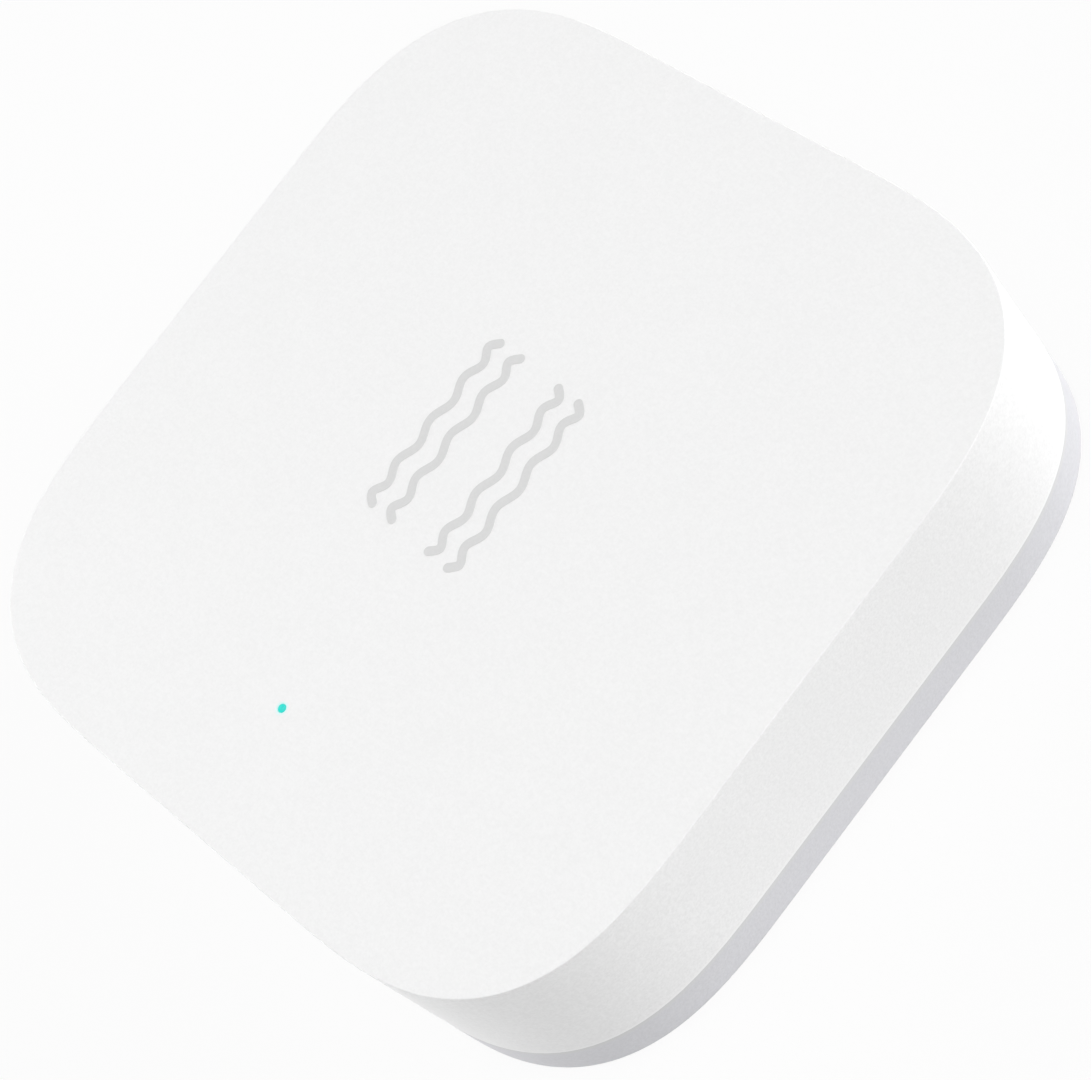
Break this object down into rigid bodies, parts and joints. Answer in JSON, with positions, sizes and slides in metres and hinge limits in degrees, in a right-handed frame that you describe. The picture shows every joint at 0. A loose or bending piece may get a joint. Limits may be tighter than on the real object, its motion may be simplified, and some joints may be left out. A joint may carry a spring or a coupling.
{
  "type": "vibration sensor tag",
  "caption": "Square stick-on vibration sensor with softly rounded corners, a white cover that snaps over a grey base, a coin cell, a signal light and a side reset button.",
  "frame": {"origin": "middle of the underside, on the face of the adhesive pad", "axes": "+Z out of the marked face, the signal light towards -Y, the reset button in the +Y wall"},
  "size_m": [0.036, 0.036, 0.0093],
  "materials": {
    "cover_white": "fine matte grain",
    "base_grey": "fine matte grain, cool light grey",
    "foam_tape": "closed-cell foam tape",
    "light_pipe": "clear, lit cyan at its tip",
    "board": "green solder mask",
    "screw_steel": "zinc plated",
    "bright_steel": "stamped sheet",
    "black_moulding": "glass-filled nylon",
    "white_nylon": "natural nylon",
    "contact_nickel": "nickel plated spring strip",
    "cell_steel": "bright stainless",
    "cathode": "pressed powder",
    "separator": "thin felt",
    "lithium": "soft metal",
    "chip_black": "moulded epoxy",
    "crystal_metal": "gold-tinted lid",
    "ceramic": "tan ceramic",
    "resistor": "black glaze",
    "inductor": "grey ceramic",
    "led": "white body with clear lens",
    "gold_copper": "gold-plated copper"
  },
  "bodies": {
    "base": {"base_cover": "base_grey", "adhesive_pad": "foam_tape"},
    "housing": {"top_cover": "cover_white", "light_pipe": "light_pipe", "circuit_board": "board", "board_screws": "screw_steel", "switch_base": "black_moulding", "switch_frame": "bright_steel", "switch_dome": "bright_steel", "cell_holder": "black_moulding", "positive_contact": "contact_nickel", "negative_contact": "contact_nickel", "cell_can": "cell_steel", "cell_gasket": "white_nylon", "cell_cap": "cell_steel", "cell_cathode": "cathode", "cell_separator": "separator", "cell_anode": "lithium", "radio_chip": "chip_black", "accelerometer_chip": "chip_black", "main_crystal": "crystal_metal", "clock_crystal": "crystal_metal", "buffer_capacitors": "ceramic", "capacitors": "ceramic", "resistors": "resistor", "inductors": "inductor", "led_chip": "led", "printed_antenna": "gold_copper", "test_points": "gold_copper"},
    "button": {"reset_button": "cover_white"},
    "plunger": {"switch_plunger": "white_nylon"}
  },
  "joints": [
    {"name": "housing_lift", "type": "slide", "parent": "base", "child": "housing", "axis": [0, 0, 1], "range_m": [0, 0.02]},
    {"name": "button_press", "type": "slide", "parent": "housing", "child": "button", "axis": [0, -1, 0], "range_m": [0, 0.00025], "stiffness_N_per_m": 4000, "springref_m": -0.0001},
    {"name": "plunger_press", "type": "slide", "parent": "housing", "child": "plunger", "axis": [0, -1, 0], "range_m": [0, 0.00025], "deforming": ["switch_dome"]}
  ],
  "couplings": [
    {"joint": "plunger_press", "follows": "button_press", "ratio": 1}
  ]
}
